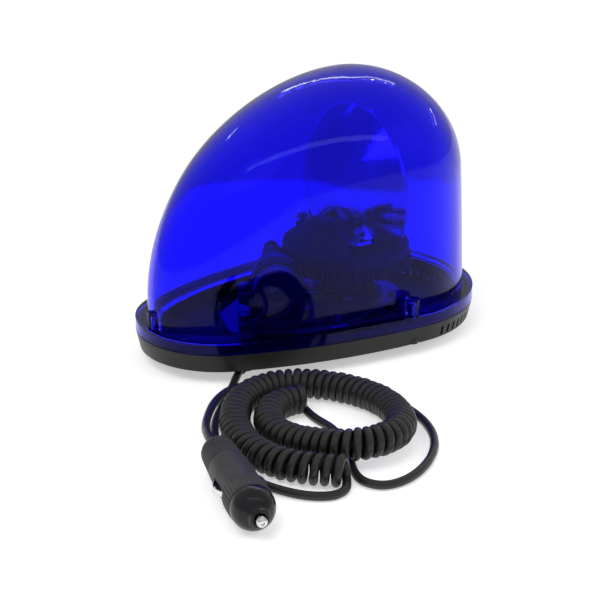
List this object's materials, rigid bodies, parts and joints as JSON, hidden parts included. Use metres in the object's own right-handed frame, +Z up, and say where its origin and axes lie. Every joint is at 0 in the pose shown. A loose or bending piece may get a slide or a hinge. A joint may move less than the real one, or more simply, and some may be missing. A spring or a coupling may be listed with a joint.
{
  "type": "rotating beacon",
  "caption": "Teardrop beacon with a clear blue dome, a worm-driven parabolic reflector round a fixed bulb, a magnet foot, and a coiled cord with a lighter plug.",
  "frame": {"origin": "on the standing surface, under the middle of the base outline", "axes": "+Z up, -X towards the narrow nose of the teardrop, +X towards the round tail, where the reflector turns; the cord leaves on the -X, -Y side"},
  "size_m": [0.2374, 0.2372, 0.1368],
  "materials": {
    "boot_rubber": "moulded, matt",
    "base_plastic": "fine grain",
    "lens_blue": "clear blue, polished",
    "frame_plastic": "moulded, satin",
    "zinc_steel": "zinc plated",
    "mirror": "vacuum metallised",
    "brass": "turned",
    "nickel": "nickel plated",
    "ferrite": "sintered",
    "clear_glass": "clear",
    "wire_skin": "PVC",
    "cord_skin": "satin PVC",
    "plug_plastic": "fine grain",
    "nose_plastic": "polished",
    "copper": "enamelled wire"
  },
  "bodies": {
    "housing": {"magnet_boot": "boot_rubber", "magnet_cup": "zinc_steel", "ring_magnet": "ferrite", "magnet_bolt": "zinc_steel", "magnet_washer": "zinc_steel", "magnet_nut": "zinc_steel", "base_pan": "base_plastic", "lens_gasket": "boot_rubber", "lens_dome": "lens_blue", "lens_screws": "zinc_steel", "chassis_plate": "zinc_steel", "chassis_screws": "zinc_steel", "spindle": "frame_plastic", "spindle_screws": "zinc_steel", "thrust_washer": "brass", "retaining_clip": "zinc_steel", "bulb_socket": "nickel", "socket_insulator": "frame_plastic", "centre_contact": "brass", "bulb_cap": "nickel", "bulb_glass": "clear_glass", "bulb_filament": "nickel", "motor_can": "zinc_steel", "motor_end_cap": "frame_plastic", "motor_terminals": "brass", "motor_magnets": "ferrite", "motor_cradle": "frame_plastic", "cradle_screws": "zinc_steel", "motor_strap": "frame_plastic", "strap_screws": "zinc_steel", "worm_bearing": "frame_plastic", "cord_gland": "boot_rubber", "motor_wire_a": "wire_skin", "motor_wire_b": "wire_skin", "lamp_wire": "wire_skin", "base_lead": "cord_skin", "curly_cord": "cord_skin", "plug_lead": "cord_skin", "plug_relief": "cord_skin", "plug_body": "plug_plastic", "plug_collar": "plug_plastic", "plug_nose": "nose_plastic", "plug_fuse": "clear_glass", "tip_spring": "nickel"},
    "rotor": {"turntable": "frame_plastic", "turntable_bush": "brass", "reflector": "mirror", "reflector_screws": "zinc_steel"},
    "worm_shaft": {"worm": "brass", "motor_shaft": "zinc_steel", "motor_armature": "copper"},
    "tip": {"plug_tip": "nickel"},
    "contact_a": {"side_contact_a": "nickel"},
    "contact_b": {"side_contact_b": "nickel"}
  },
  "joints": [
    {"name": "reflector_spin", "type": "hinge", "parent": "housing", "child": "rotor", "pos_m": [0.0245, 0, 0.037], "axis": [0, 0, 1], "continuous": true},
    {"name": "worm_spin", "type": "hinge", "parent": "housing", "child": "worm_shaft", "pos_m": [-0.00798, 0.01875, 0.037], "axis": [-0.5, -0.866, 0], "continuous": true},
    {"name": "plug_tip_press", "type": "slide", "parent": "housing", "child": "tip", "axis": [0.2665, 0.9638, 0], "range_m": [0, 0.0024], "stiffness_N_per_m": 900, "springref_m": -0.002, "deforming": ["tip_spring"]},
    {"name": "side_contact_a_press", "type": "slide", "parent": "housing", "child": "contact_a", "axis": [0.9638, -0.2665, 0], "range_m": [0, 0.0012], "stiffness_N_per_m": 1500, "springref_m": -0.001},
    {"name": "side_contact_b_press", "type": "slide", "parent": "housing", "child": "contact_b", "axis": [-0.9638, 0.2665, 0], "range_m": [0, 0.0012], "stiffness_N_per_m": 1500, "springref_m": -0.001}
  ],
  "couplings": [
    {"joint": "worm_spin", "follows": "reflector_spin", "ratio": -66}
  ]
}
